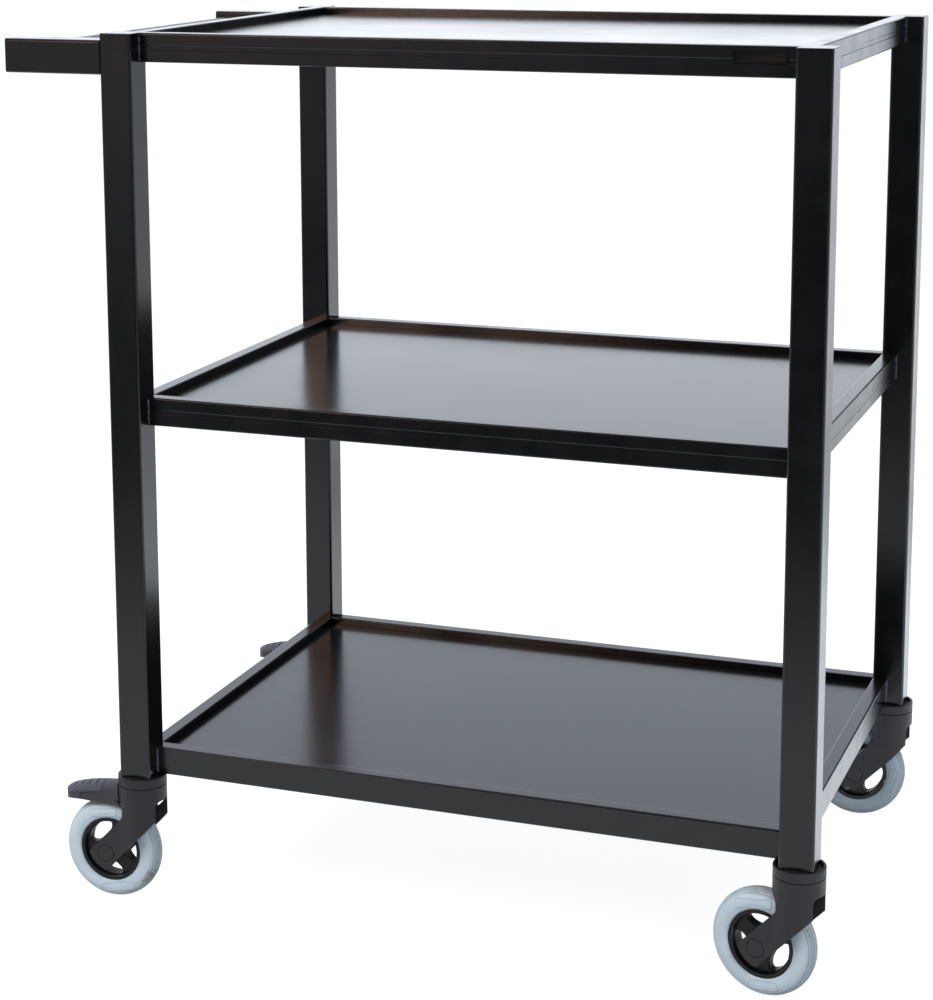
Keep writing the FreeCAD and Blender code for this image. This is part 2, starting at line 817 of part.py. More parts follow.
for level in shelf_levels:
    for side in ("front", "rear", "left", "right"):
        save(at_centre(rail(side, level)), "%s_rail_%s" % (level, side))
    save(at_centre(shelf(level)), "shelf_" + level)

save(at_centre(group([strip for level in shelf_levels for strip in ledges(level)])), "shelf_ledges")
save(at_centre(group([bead for name in corners for bead in weld_beads(name)])), "weld_beads")
save(at_centre(handle_arm(-1)), "handle_arm_front")
save(at_centre(handle_arm(1)), "handle_arm_rear")
save(at_centre(grip()), "handle_bar")
save(at_centre(name_plate()), "name_plate")

for label, make in (("stem_sockets", stem_socket), ("castor_stems", stem),
                    ("castor_bearings", bearing), ("castor_top_covers", top_cover)):
    shape = make()
    copies = []
    for name in corners:
        x_sign, y_sign = corner_sign(name)
        copy = shape.copy()
        copy.translate(FreeCAD.Vector(centre_x + x_sign * swivel_x, y_sign * swivel_y, 0))
        copies.append(copy)
    save(group(copies), label)

forks = {state: fork(state) for state in (False, True)}
castor_axle = axle()
castor_covers = group(axle_covers())
castor_bushes = group(bushes())
castor_tyre = tyre()
for name in corners:
    save(place_castor(forks[name in braked], name), "castor_fork_" + name)
    save(place_castor(castor_axle, name), "castor_axle_" + name)
    save(place_castor(castor_covers, name), "axle_covers_" + name)
    save(place_castor(hub(window_start_angle[name]), name), "wheel_hub_" + name)
    save(place_castor(castor_bushes, name), "wheel_bushes_" + name)
    save(place_castor(castor_tyre, name), "wheel_tyre_" + name)

pedal = brake_pedal()
pad = brake_pad()
shoe = brake_shoe()
for name in braked:
    save(place_castor(pedal, name), "brake_pedal_" + name)
    save(place_castor(pad, name), "brake_pad_" + name)
    save(place_castor(shoe, name), "brake_shoe_" + name)
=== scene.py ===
import json
import math

import bpy
from mathutils import Matrix, Vector


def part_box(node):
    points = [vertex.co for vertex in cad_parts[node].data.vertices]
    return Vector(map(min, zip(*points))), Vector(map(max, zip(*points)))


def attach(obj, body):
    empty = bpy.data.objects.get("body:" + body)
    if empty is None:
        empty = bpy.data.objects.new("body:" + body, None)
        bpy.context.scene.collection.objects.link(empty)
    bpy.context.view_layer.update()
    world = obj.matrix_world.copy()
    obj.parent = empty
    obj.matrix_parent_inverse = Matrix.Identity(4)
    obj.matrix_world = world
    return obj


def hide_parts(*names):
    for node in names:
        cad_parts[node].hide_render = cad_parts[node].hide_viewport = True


# A serving cart dressed for the camera. Metres, in the frame that its parts stand in.

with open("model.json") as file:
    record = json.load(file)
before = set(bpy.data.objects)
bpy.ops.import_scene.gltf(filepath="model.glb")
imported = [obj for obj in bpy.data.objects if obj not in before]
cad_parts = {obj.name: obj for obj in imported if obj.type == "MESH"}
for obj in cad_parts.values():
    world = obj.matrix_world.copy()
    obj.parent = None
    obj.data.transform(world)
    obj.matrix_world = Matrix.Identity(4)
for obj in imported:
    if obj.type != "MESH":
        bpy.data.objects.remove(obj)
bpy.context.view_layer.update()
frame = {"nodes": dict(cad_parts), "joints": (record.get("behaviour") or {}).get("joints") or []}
parts = frame["nodes"]
mm = 0.001
castors = ("front_left", "front_right", "rear_left", "rear_right")
print("frame loaded:", len(parts), "parts")


# Small helpers

def clearSelection():
    if bpy.context.mode != "OBJECT":
        bpy.ops.object.mode_set(mode="OBJECT")
    bpy.ops.object.select_all(action="DESELECT")


def pick(piece):
    clearSelection()
    piece.select_set(True)
    bpy.context.view_layer.objects.active = piece


# Edit mode with only the faces, edges or vertices that keep() accepts selected
def edit(piece, element="FACE", keep=None):
    pick(piece)
    mesh = piece.data
    for item in (*mesh.vertices, *mesh.edges, *mesh.polygons):
        item.select = False
    if keep:
        for item in {"FACE": mesh.polygons, "EDGE": mesh.edges, "VERT": mesh.vertices}[element]:
            item.select = keep(item)
    bpy.ops.object.mode_set(mode="EDIT")
    bpy.ops.mesh.select_mode(type=element)


def jointOf(name):
    return next(joint for joint in frame["joints"] if joint["name"] == name)


# Moves a wheel modelled at the origin, axis along Y, onto its axle
def placeOfWheel(castor):
    roll = jointOf("roll_" + castor)
    turn = math.atan2(-roll["axis"][0], roll["axis"][1])
    return Matrix.Translation(roll["pos_m"]) @ Matrix.Rotation(turn, 4, "Z")


# Node tools

def addNode(tree, kind, **settings):
    node = tree.nodes.new(kind)
    for name, value in settings.items():
        if name.startswith("in_"):
            node.inputs[name[3:].replace("_", " ")].default_value = value
        else:
            setattr(node, name, value)
    return node


def wire(tree, source, target):
    tree.links.new(source, target)
    return target


def mathNode(tree, operation, first, second=None):
    node = tree.nodes.new("ShaderNodeMath")
    node.operation = operation
    for socket, value in zip(node.inputs, (first, second)):
        if isinstance(value, (int, float)):
            socket.default_value = value
        elif value is not None:
            tree.links.new(value, socket)
    return node.outputs[0]


# Maps low..high onto newLow..newHigh with soft ends
def spread(tree, value, low, high, newLow=0.0, newHigh=1.0):
    node = tree.nodes.new("ShaderNodeMapRange")
    node.interpolation_type = "SMOOTHSTEP"
    tree.links.new(value, node.inputs["Value"])
    node.inputs["From Min"].default_value = low
    node.inputs["From Max"].default_value = high
    node.inputs["To Min"].default_value = newLow
    node.inputs["To Max"].default_value = newHigh
    return node.outputs["Result"]


def blendColours(tree, mask, first, second):
    node = tree.nodes.new("ShaderNodeMix")
    node.data_type = "RGBA"
    tree.links.new(mask, node.inputs["Factor"])
    for socket, colour in ((node.inputs["A"], first), (node.inputs["B"], second)):
        if isinstance(colour, tuple):
            socket.default_value = (*colour, 1.0)
        else:
            tree.links.new(colour, socket)
    return node.outputs["Result"]


def newGroup(name, inputs, outputs):
    group = bpy.data.node_groups.new(name, "ShaderNodeTree")
    for label, value in inputs.items():
        group.interface.new_socket(label, in_out="INPUT", socket_type="NodeSocketFloat").default_value = value
    for label in outputs:
        group.interface.new_socket(label, in_out="OUTPUT", socket_type="NodeSocketFloat")
    return group, group.nodes.new("NodeGroupInput"), group.nodes.new("NodeGroupOutput")


def useGroup(tree, group, **inputs):
    node = tree.nodes.new("ShaderNodeGroup")
    node.node_tree = group
    for label, value in inputs.items():
        node.inputs[label].default_value = value
    return node


# Noise whose patches are about size metres across; size is a socket or a number
def noiseAt(tree, coordinates, size, detail=2.0):
    noise = addNode(tree, "ShaderNodeTexNoise", in_Detail=detail)
    tree.links.new(coordinates, noise.inputs["Vector"])
    tree.links.new(mathNode(tree, "DIVIDE", 1.0, size), noise.inputs["Scale"])
    return noise.outputs["Fac"]


# Effects that several finishes share. Edges are where a soft step starts and ends, from 0 to 1

effectSize = {
    "cloudDetail": 4.0, "cloudGain": 2.5,
    "cellsPerSpeck": 0.16, "speckEdge": (0.02, 0.07),
    "patch": 0.09, "patchEdge": (0.48, 0.7), "upwardEdge": (0.2, 0.95), "shareOnWalls": 0.15,
}


# Fine pits and swells of a coat or a moulding. Size and Swell are widths in metres
def makeGrain():
    group, entry, out = newGroup("surface grain", {"Size": 0.001, "Swell": 0.006, "Swell share": 0.5}, ["Height"])
    where = addNode(group, "ShaderNodeTexCoord").outputs["Object"]
    fine = noiseAt(group, where, entry.outputs["Size"], 1.0)
    wide = noiseAt(group, where, entry.outputs["Swell"], 1.0)
    share = entry.outputs["Swell share"]
    both = mathNode(group, "ADD", mathNode(group, "MULTIPLY", wide, share),
                    mathNode(group, "MULTIPLY", fine, mathNode(group, "SUBTRACT", 1.0, share)))
    wire(group, both, out.inputs["Height"])
    return group


# Slow cloudy change over a surface, from 0 to 1
def makeMottle(size):
    group, entry, out = newGroup("mottle", {"Size": 0.05, "Contrast": 1.0}, ["Tone"])
    where = addNode(group, "ShaderNodeTexCoord").outputs["Object"]
    cloud = noiseAt(group, where, entry.outputs["Size"], size["cloudDetail"])
    centred = mathNode(group, "MULTIPLY", mathNode(group, "SUBTRACT", cloud, 0.5), entry.outputs["Contrast"])
    tone = mathNode(group, "ADD", mathNode(group, "MULTIPLY", centred, size["cloudGain"]), 0.5)
    wire(group, tone, out.inputs["Tone"])
    tone.node.use_clamp = True
    return group


# Sparse specks of lint and dust, thicker on faces that look up
def makeDust(size):
    group, entry, out = newGroup("dust", {"Speck": 0.0012, "Amount": 0.5}, ["Mask"])
    where = addNode(group, "ShaderNodeTexCoord").outputs["Object"]
    cells = addNode(group, "ShaderNodeTexVoronoi", feature="F1")
    wire(group, where, cells.inputs["Vector"])
    wire(group, mathNode(group, "DIVIDE", size["cellsPerSpeck"], entry.outputs["Speck"]), cells.inputs["Scale"])
    dots = spread(group, cells.outputs["Distance"], *size["speckEdge"], 1.0, 0.0)
    patches = spread(group, noiseAt(group, where, size["patch"]), *size["patchEdge"])
    normal = addNode(group, "ShaderNodeNewGeometry").outputs["Normal"]
    split = addNode(group, "ShaderNodeSeparateXYZ")
    wire(group, normal, split.inputs[0])
    upward = spread(group, split.outputs["Z"], *size["upwardEdge"], size["shareOnWalls"], 1.0)
    mask = mathNode(group, "MULTIPLY", mathNode(group, "MULTIPLY", dots, patches), upward)
    wire(group, mathNode(group, "MULTIPLY", mask, entry.outputs["Amount"]), out.inputs["Mask"])
    return group


grain = makeGrain()
mottle = makeMottle(effectSize)
dust = makeDust(effectSize)
print("shared effects made")


# Finishes

def newFinish(name, roughness, metallic=0.0, specular=0.5):
    material = bpy.data.materials.new(name)
    material.use_nodes = True
    tree = material.node_tree
    shader = tree.nodes["Principled BSDF"]
    shader.inputs["Metallic"].default_value = metallic
    shader.inputs["Roughness"].default_value = roughness
    shader.inputs["Specular IOR Level"].default_value = specular
    return material, tree, shader


def addBump(tree, shader, height, depth, strength=1.0):
    bump = addNode(tree, "ShaderNodeBump", in_Distance=depth, in_Strength=strength)
    wire(tree, height, bump.inputs["Height"])
    wire(tree, bump.outputs["Normal"], shader.inputs["Normal"])


# Powder coat: cloudy tone, dust specks, and the slight orange peel of the coat
def makeCoatFinish(look):
    material, tree, shader = newFinish(look["name"], look["roughness"][0], specular=look["specular"])
    tone = useGroup(tree, mottle, Size=look["mottleSize"], Contrast=look["mottleContrast"]).outputs["Tone"]
    specks = useGroup(tree, dust, Speck=look["speck"], Amount=look["dustAmount"]).outputs["Mask"]
    colour = blendColours(tree, tone, look["dark"], look["light"])
    wire(tree, blendColours(tree, specks, colour, look["dustColour"]), shader.inputs["Base Color"])
    wire(tree, spread(tree, tone, 0.0, 1.0, *look["roughness"]), shader.inputs["Roughness"])
    peel = useGroup(tree, grain, Size=look["peelSize"], Swell=look["peelSwell"])
    addBump(tree, shader, peel.outputs["Height"], look["peelDepth"], look["peelStrength"])
    return material


frameLook = {
    "name": "frame powder coat",
    "dark": (0.0018, 0.0020, 0.0026), "light": (0.0036, 0.0035, 0.0038),
    "roughness": (0.20, 0.24), "specular": 0.5,
    "mottleSize": 0.035, "mottleContrast": 1.0,
    "speck": 0.0009, "dustAmount": 0.35, "dustColour": (0.12, 0.11, 0.10),
    "peelSize": 0.0013, "peelSwell": 0.006, "peelDepth": 0.000014, "peelStrength": 0.5,
}
sheetLook = {
    "name": "shelf powder coat",
    "dark": (0.0022, 0.0024, 0.0030), "light": (0.0040, 0.0040, 0.0044),
    "roughness": (0.17, 0.21), "specular": 0.5,
    "mottleSize": 0.12, "mottleContrast": 0.5,
    "speck": 0.0009, "dustAmount": 0.3, "dustColour": (0.16, 0.15, 0.14),
    "peelSize": 0.0015, "peelSwell": 0.012, "peelDepth": 0.000015, "peelStrength": 0.4,
}


# Moulded plastic: fine texture, a faint change of tone, and painted shade where two faces all but meet: the colour
# goes black and the gloss is taken away there
def makeMouldedFinish(look):
    material, tree, shader = newFinish(look["name"], look["roughness"][0], specular=look["specular"])
    tone = useGroup(tree, mottle, Size=look["mottleSize"], Contrast=look["mottleContrast"]).outputs["Tone"]
    specks = useGroup(tree, dust, Speck=look["speck"], Amount=look["dustAmount"]).outputs["Mask"]
    colour = blendColours(tree, tone, look["dark"], look["light"])
    # painted shade: ambient occlusion within a few millimetres darkens the colour and cuts the gloss in gaps and
    # creases
    nearby = addNode(tree, "ShaderNodeAmbientOcclusion", samples=look["creaseSamples"],
                     in_Distance=look["creaseReach"])
    bare = spread(tree, nearby.outputs["AO"], *look["crease"])
    colour = blendColours(tree, specks, colour, look["dustColour"])
    wire(tree, blendColours(tree, bare, look["creaseShadeColour"], colour), shader.inputs["Base Color"])
    wire(tree, mathNode(tree, "MULTIPLY", bare, look["specular"]), shader.inputs["Specular IOR Level"])
    wire(tree, spread(tree, tone, 0.0, 1.0, *look["roughness"]), shader.inputs["Roughness"])
    texture = useGroup(tree, grain, Size=look["grainSize"], Swell=look["grainSwell"])
    addBump(tree, shader, texture.outputs["Height"], look["grainDepth"], look["grainStrength"])
    return material


forkLook = {
    "name": "castor moulding",
    "dark": (0.0124, 0.0120, 0.0140), "light": (0.0172, 0.0166, 0.0184),
    "roughness": (0.44, 0.56), "specular": 0.4,
    # crease keys set the painted shade: reach and samples of the occlusion, its soft edge, and the shade colour
    "creaseReach": 0.003, "creaseSamples": 8, "crease": (0.30, 0.72), "creaseShadeColour": (0.001, 0.001, 0.001),
    "mottleSize": 0.02, "mottleContrast": 0.8,
    "speck": 0.0007, "dustAmount": 0.3, "dustColour": (0.16, 0.15, 0.14),
    "grainSize": 0.0006, "grainSwell": 0.002, "grainDepth": 0.00006, "grainStrength": 0.6,
}
hubLook = dict(forkLook, name="hub moulding", dark=(0.0030, 0.0030, 0.0034), light=(0.0060, 0.0060, 0.0065),
               roughness=(0.42, 0.52), specular=0.3)
pedalLook = dict(forkLook, name="pedal moulding", dark=(0.0275, 0.0285, 0.0318), light=(0.0345, 0.0352, 0.0385))
padLook = dict(forkLook, name="pedal pad", dark=(0.037, 0.040, 0.045), light=(0.046, 0.049, 0.054),
               roughness=(0.50, 0.62))
bushLook = dict(forkLook, name="bush moulding", dark=(0.25, 0.25, 0.24), light=(0.33, 0.33, 0.32),
                roughness=(0.4, 0.5))
plateLook = dict(forkLook, name="plate", dark=(0.0030, 0.0032, 0.0036), light=(0.0052, 0.0054, 0.0060),
                 roughness=(0.34, 0.42), specular=0.14, grainDepth=0.00001)


# Turned steel: fine rings left by the tool, seen as a change of gloss
def makeSteelFinish(look):
    material, tree, shader = newFinish(look["name"], look["roughness"][0], metallic=1.0)
    tone = useGroup(tree, mottle, Size=look["mottleSize"], Contrast=1.0).outputs["Tone"]
    lines = useGroup(tree, grain, Size=look["lineSize"], Swell=look["lineSwell"])
    wire(tree, blendColours(tree, tone, look["dark"], look["light"]), shader.inputs["Base Color"])
    gloss = spread(tree, lines.outputs["Height"], *look["lineEdge"], *look["roughness"])
    wire(tree, gloss, shader.inputs["Roughness"])
    addBump(tree, shader, lines.outputs["Height"], look["lineDepth"], look["lineStrength"])
    return material


steelLook = {
    "name": "turned steel", "dark": (0.48, 0.48, 0.49), "light": (0.60, 0.60, 0.61),
    "roughness": (0.24, 0.38), "mottleSize": 0.01,
    "lineSize": 0.0003, "lineSwell": 0.0015, "lineDepth": 0.00001, "lineStrength": 0.4, "lineEdge": (0.2, 0.8),
}


# Grey rubber: even and matt on the walls, brownish where it is worn, with painted shade in its moulded lines and
# beside its panels' borders
def makeTyreFinish(look):
    material, tree, shader = newFinish(look["name"], look["roughness"][0], specular=look["specular"])
    tone = useGroup(tree, mottle, Size=look["mottleSize"], Contrast=look["mottleContrast"]).outputs["Tone"]
    colour = blendColours(tree, tone, look["dark"], look["light"])
    tread = addNode(tree, "ShaderNodeAttribute", attribute_name="tread")
    where = addNode(tree, "ShaderNodeTexCoord").outputs["Object"]
    smudges = spread(tree, noiseAt(tree, where, look["scuffSize"], look["scuffDetail"]), *look["scuffEdge"])
    streaks = spread(tree, noiseAt(tree, where, look["streakSize"], look["streakDetail"]), *look["streakEdge"])
    wear = mathNode(tree, "MULTIPLY", mathNode(tree, "MULTIPLY", smudges, streaks), tread.outputs["Fac"])
    outer = spread(tree, tread.outputs["Fac"], look["grimeStart"], 1.0)
    grime = mathNode(tree, "MULTIPLY", outer, look["treadGrime"])
    colour = blendColours(tree, grime, colour, look["grimeColour"])
    rubbed = addNode(tree, "ShaderNodeAttribute", attribute_name="rubbed").outputs["Fac"]
    patches = spread(tree, noiseAt(tree, where, look["rubSize"], look["rubDetail"]), *look["rubEdge"])
    rubbed = mathNode(tree, "MULTIPLY", rubbed, patches)
    scuffs = mathNode(tree, "MULTIPLY", mathNode(tree, "MAXIMUM", wear, rubbed), look["scuffAmount"])
    colour = blendColours(tree, scuffs, colour, look["scuffColour"])
    # painted shade: darker colour in the moulded lines and at the foot of the panels' borders
    lines = addNode(tree, "ShaderNodeAttribute", attribute_name="lines").outputs["Fac"]
    lines = mathNode(tree, "MULTIPLY", lines, look["grooveShadeAmount"])
    wire(tree, blendColours(tree, lines, colour, look["grooveShadeColour"]), shader.inputs["Base Color"])
    wire(tree, spread(tree, tone, 0.0, 1.0, *look["roughness"]), shader.inputs["Roughness"])
    texture = useGroup(tree, grain, Size=look["grainSize"], Swell=look["grainSwell"])
    addBump(tree, shader, texture.outputs["Height"], look["grainDepth"], look["grainStrength"])
    return material


tyreLook = {
    "name": "grey rubber",
    "dark": (0.450, 0.545, 0.600), "light": (0.495, 0.593, 0.648),
    "mottleSize": 0.02, "mottleContrast": 0.8,
    "roughness": (0.50, 0.62), "specular": 0.35,
    "scuffSize": 0.010, "scuffDetail": 6.0, "scuffEdge": (0.52, 0.70), "scuffAmount": 0.75,
    "streakSize": 0.004, "streakDetail": 3.0, "streakEdge": (0.50, 0.72), "scuffColour": (0.20, 0.13, 0.09),
    "rubSize": 0.003, "rubDetail": 5.0, "rubEdge": (0.30, 0.62),
    "grimeStart": 0.35, "treadGrime": 0.35, "grimeColour": (0.36, 0.37, 0.36),
    "grooveShadeAmount": 0.60, "grooveShadeColour": (0.17, 0.20, 0.23),
    "grainSize": 0.0006, "grainSwell": 0.004, "grainDepth": 0.00003, "grainStrength": 0.4,
}


# Painted weld: the coat over the small steps that each drop of weld left, with bluish lighter patches that are a
# painted glint along the bead
def makeWeldFinish(look):
    material, tree, shader = newFinish(look["name"], look["roughness"], specular=look["specular"])
    where = addNode(tree, "ShaderNodeTexCoord").outputs["Object"]
    steps = noiseAt(tree, where, look["stepSize"], 2.0)
    # painted highlight: noise patches lighten the colour to a bluish glint
    paintedGlint = spread(tree, noiseAt(tree, where, look["patchSize"], look["patchDetail"]), *look["patchEdge"])
    wire(tree, blendColours(tree, paintedGlint, look["dark"], look["light"]), shader.inputs["Base Color"])
    addBump(tree, shader, steps, look["stepDepth"], look["stepStrength"])
    return material


weldLook = {
    "name": "painted weld", "roughness": 0.24, "specular": 0.6,
    # light is the colour of the painted glint
    "dark": (0.004, 0.006, 0.010), "light": (0.030, 0.050, 0.080),
    "stepSize": 0.0022, "stepDepth": 0.00022, "stepStrength": 0.7,
    "patchSize": 0.004, "patchDetail": 3.0, "patchEdge": (0.40, 0.60),
}

finishes = {
    "frame_paint": makeCoatFinish(frameLook),
    "sheet_paint": makeCoatFinish(sheetLook),
    "steel": makeSteelFinish(steelLook),
    "castor_plastic": makeMouldedFinish(forkLook),
    "hub_plastic": makeMouldedFinish(hubLook),
    "pad_plastic": makeMouldedFinish(padLook),
    "bush_plastic": makeMouldedFinish(bushLook),
    "tyre": makeTyreFinish(tyreLook),
    "plate": makeMouldedFinish(plateLook),
}
for part in parts.values():
    for slot in part.material_slots:
        slot.material = finishes[slot.material.name]
for slot in parts["weld_beads"].material_slots:
    slot.material = makeWeldFinish(weldLook)
pedalFinish = makeMouldedFinish(pedalLook)
for name in ("brake_pedal_front_left", "brake_pedal_rear_left"):
    for slot in parts[name].material_slots:
        slot.material = pedalFinish
print("finishes made and given to the parts")


# Tyres: the section is spun round the axle, and each side wall carries a lip and two bare panels

tyreSize = {
    "radius": 62.5 * mm, "beadRadius": 40.2 * mm, "beadHalf": 12.6 * mm,
    "bellyRadius": 49.0 * mm, "shoulderRadius": 56.5 * mm, "shoulderHalf": 13.0 * mm,
    "halfWidth": 15.0 * mm, "crownRadius": 60.3 * mm, "crownHalf": 8.4 * mm, "treadHalf": 1.5 * mm,
    "lineDepth": 0.6 * mm, "lineWidth": 1.0 * mm, "linePlaces": (3.9 * mm, 7.4 * mm, 10.6 * mm),
    "lineClearShare": 1.3, "lineFloorShare": 0.6,
    # the slim raised lip beside the hub: (radius, how far it stands out)
    "lip": ((41.0 * mm, 0.05 * mm), (41.4 * mm, 0.40 * mm), (42.0 * mm, 0.45 * mm), (42.5 * mm, 0.05 * mm)),
    "steps": 180, "wallSteps": 14, "crownSteps": 18, "smoothBelow": 35.0, "mergeBelow": 0.01 * mm,
}

# Bare raised panels on the side walls, a round-ended one and a squarer one opposite it
panelSize = {
    "radius": 47.5 * mm, "outlineHeight": 0.45 * mm, "outlineWidth": 0.50 * mm, "fieldHeight": 0.08 * mm,
    "softness": 0.2333 * mm, "margin": 1.6 * mm, "cuts": 3,
    "shapes": ({"turn": 0.0, "length": 37.0 * mm, "height": 9.0 * mm, "corner": 4.4 * mm},
               {"turn": 183.0, "length": 44.0 * mm, "height": 9.6 * mm, "corner": 2.6 * mm}),
    "places": {"front_left": 100.0, "front_right": -83.0, "rear_left": 25.0, "rear_right": 160.0},
}

# What the tyres' marks reach: bands round worn places, and the painted shade in lines and at the edge of panels
markSize = {
    "treadInset": 3 * mm, "wornSoft": 1.5 * mm, "wornCore": 0.6,
    "lineShare": 0.35, "outlineShade": 0.7,
}

# Worn places on each tyre: (turn and half spread in degrees, inner and outer radius, how worn)
wornPlaces = {
    "front_left": ((-30.0, 13.0, 55.5 * mm, 62.0 * mm, 1.0), (14.0, 3.0, 48.0 * mm, 50.0 * mm, 0.6)),
    "front_right": ((80.0, 32.0, 58.0 * mm, 63.0 * mm, 0.55),),
    "rear_left": ((-60.0, 14.0, 57.0 * mm, 62.0 * mm, 0.7),),
    "rear_right": ((-110.0, 16.0, 57.0 * mm, 62.0 * mm, 0.7),),
}


# Points on the circle through three points, the first one left out
def arcThrough(start, middle, end, count):
    (ax, ay), (bx, by), (cx, cy) = start, middle, end
    d = 2 * (ax * (by - cy) + bx * (cy - ay) + cx * (ay - by))
    ux = ((ax * ax + ay * ay) * (by - cy) + (bx * bx + by * by) * (cy - ay) + (cx * cx + cy * cy) * (ay - by)) / d
    uy = ((ax * ax + ay * ay) * (cx - bx) + (bx * bx + by * by) * (ax - cx) + (cx * cx + cy * cy) * (bx - ax)) / d
    radius = math.hypot(ax - ux, ay - uy)
    first = math.atan2(ay - uy, ax - ux)
    last = math.atan2(cy - uy, cx - ux)
    turn = (last - first + math.pi) % (2 * math.pi) - math.pi
    return [(ux + radius * math.cos(first + turn * i / count), uy + radius * math.sin(first + turn * i / count))
            for i in range(1, count + 1)]


# Side wall and tread of one half: (distance from the middle plane, radius)
def halfSection(size):
    bead = (size["beadHalf"], size["beadRadius"])
    belly = (size["halfWidth"], size["bellyRadius"])
    shoulder = (size["shoulderHalf"], size["shoulderRadius"])
    crown = (size["crownHalf"], size["crownRadius"])
    edge = (size["treadHalf"], size["radius"])
    wall = [bead] + arcThrough(bead, belly, shoulder, size["wallSteps"])
    tread = arcThrough(shoulder, crown, edge, size["crownSteps"])
    return addLip(wall, size["lip"]), tread


# How far out a run of corners reaches at one radius
def sideAt(run, radius):
    for (s1, r1), (s2, r2) in zip(run, run[1:]):
        if min(r1, r2) <= radius <= max(r1, r2):
            return s1 + (s2 - s1) * (radius - r1) / (r2 - r1)
    return run[0][0]


def addLip(wall, lip):
    kept = [p for p in wall if not lip[0][0] < p[1] < lip[-1][0]]
    raised = [(sideAt(wall, radius) + rise, radius) for radius, rise in lip]
    return sorted(kept + raised, key=lambda p: p[1])


# Adds the corners of the moulded lines to the tread
def cutLines(tread, size):
    def radiusAt(side):
        for (s1, r1), (s2, r2) in zip(tread, tread[1:]):
            if min(s1, s2) <= side <= max(s1, s2):
                return r1 + (r2 - r1) * (side - s1) / (s2 - s1)
        return size["radius"]
    half = size["lineWidth"] / 2
    clear = half * size["lineClearShare"]
    flat = half * size["lineFloorShare"]
    kept = [p for p in tread if all(abs(p[0] - place) > clear for place in size["linePlaces"])]
    for place in size["linePlaces"]:
        for side, deep in ((place + half, 0), (place + flat, 1), (place - flat, 1), (place - half, 0)):
            kept.append((side, radiusAt(side) - deep * size["lineDepth"]))
    return sorted(kept, key=lambda p: -p[0])


def makeTyre(size):
    wall, tread = halfSection(size)
    half = wall + cutLines(tread, size)
    profile = half + [(-side, radius) for side, radius in reversed(half)]
    clearSelection()
    bpy.ops.mesh.primitive_circle_add(vertices=len(profile), radius=size["radius"], fill_type="NOTHING")
    tyre = bpy.context.object
    for vertex, (side, radius) in zip(tyre.data.vertices, profile):
        vertex.co = (0.0, side, radius)
    edit(tyre)
    bpy.ops.mesh.select_all(action="SELECT")
    bpy.ops.mesh.spin(steps=size["steps"], angle=2 * math.pi, center=(0, 0, 0), axis=(0, 1, 0))
    bpy.ops.mesh.select_all(action="SELECT")
    bpy.ops.mesh.remove_doubles(threshold=size["mergeBelow"])
    bpy.ops.mesh.normals_make_consistent(inside=False)
    bpy.ops.object.mode_set(mode="OBJECT")
    return tyre


# Distance from a rounded outline, less than nothing inside it
def outlineDistance(along, across, shape):
    x = abs(along) - shape["length"] / 2 + shape["corner"]
    z = abs(across) - shape["height"] / 2 + shape["corner"]
    return math.hypot(max(x, 0.0), max(z, 0.0)) + min(max(x, z), 0.0) - shape["corner"]


# The same for a point of the wheel and a panel whose middle is turned round it
def outlineAt(point, radius, shape, start):
    turn = math.radians(start + shape["turn"])
    out, along = Vector((math.cos(turn), 0, math.sin(turn))), Vector((-math.sin(turn), 0, math.cos(turn)))
    return outlineDistance(point.dot(along), point.dot(out) - radius, shape)


# Cuts the wall finer where a panel lies and raises its border and its blank field
def raisePanels(tyre, size, start):
    for shape in size["shapes"]:
        def fromOutline(point):
            return outlineAt(point, size["radius"], shape, start)

        edit(tyre, "FACE", lambda face: abs(face.center.y) > tyreSize["beadHalf"] and
             fromOutline(face.center) < size["margin"])
        bpy.ops.mesh.subdivide(number_cuts=size["cuts"])
        bpy.ops.object.mode_set(mode="OBJECT")
        for vertex in tyre.data.vertices:
            if abs(vertex.co.y) < tyreSize["beadHalf"]:
                continue
            distance = fromOutline(vertex.co)
            border = math.exp(-(distance / size["outlineWidth"]) ** 2) * size["outlineHeight"]
            field = (0.5 - 0.5 * math.tanh(distance / size["softness"])) * size["fieldHeight"]
            vertex.co.y += math.copysign(border + field, vertex.co.y)
    pick(tyre)
    bpy.ops.object.shade_smooth_by_angle(angle=math.radians(tyreSize["smoothBelow"]))


# Falls from 1 inside low..high to 0 over one soft width outside it
def softBand(value, low, high, soft):
    return max(0.0, 1.0 - max(low - value, value - high, 0.0) / soft)


# Stores on each point how far out on the tread it lies, how worn it is, and how much painted shade it gets in a
# moulded line or beside a panel's border
def markTyre(piece, size, panels, start, worn, reach):
    marks = {name: piece.data.attributes.new(name, "FLOAT", "POINT").data for name in ("tread", "rubbed", "lines")}
    low = size["shoulderRadius"] - reach["treadInset"]
    core = reach["wornCore"]
    for index, vertex in enumerate(piece.data.vertices):
        point = vertex.co
        radius, turn = math.hypot(point.x, point.z), math.degrees(math.atan2(point.z, point.x))
        marks["tread"][index].value = max(0.0, min(1.0, (radius - low) / (size["radius"] - low)))
        rubbed = 0.0
        for middle, half, inner, outer, amount in worn:
            away = abs((turn - middle + 180.0) % 360.0 - 180.0)
            band = softBand(radius, inner, outer, reach["wornSoft"])
            rubbed = max(rubbed, amount * softBand(away, 0.0, half * core, half * (1 - core)) * band)
        marks["rubbed"][index].value = rubbed
        # painted shade in the tread lines and beside the raised border of each panel
        reached = size["lineWidth"] * reach["lineShare"]
        grooved = any(abs(abs(point.y) - place) < reached for place in size["linePlaces"])
        line = 1.0 if grooved and radius > size["shoulderRadius"] else 0.0
        if abs(point.y) > size["beadHalf"]:
            for shape in panels["shapes"]:
                away = outlineAt(point, panels["radius"], shape, start)
                beside = (away - panels["outlineWidth"]) / panels["outlineWidth"]
                line = max(line, reach["outlineShade"] * math.exp(-beside ** 2))
        marks["lines"][index].value = line


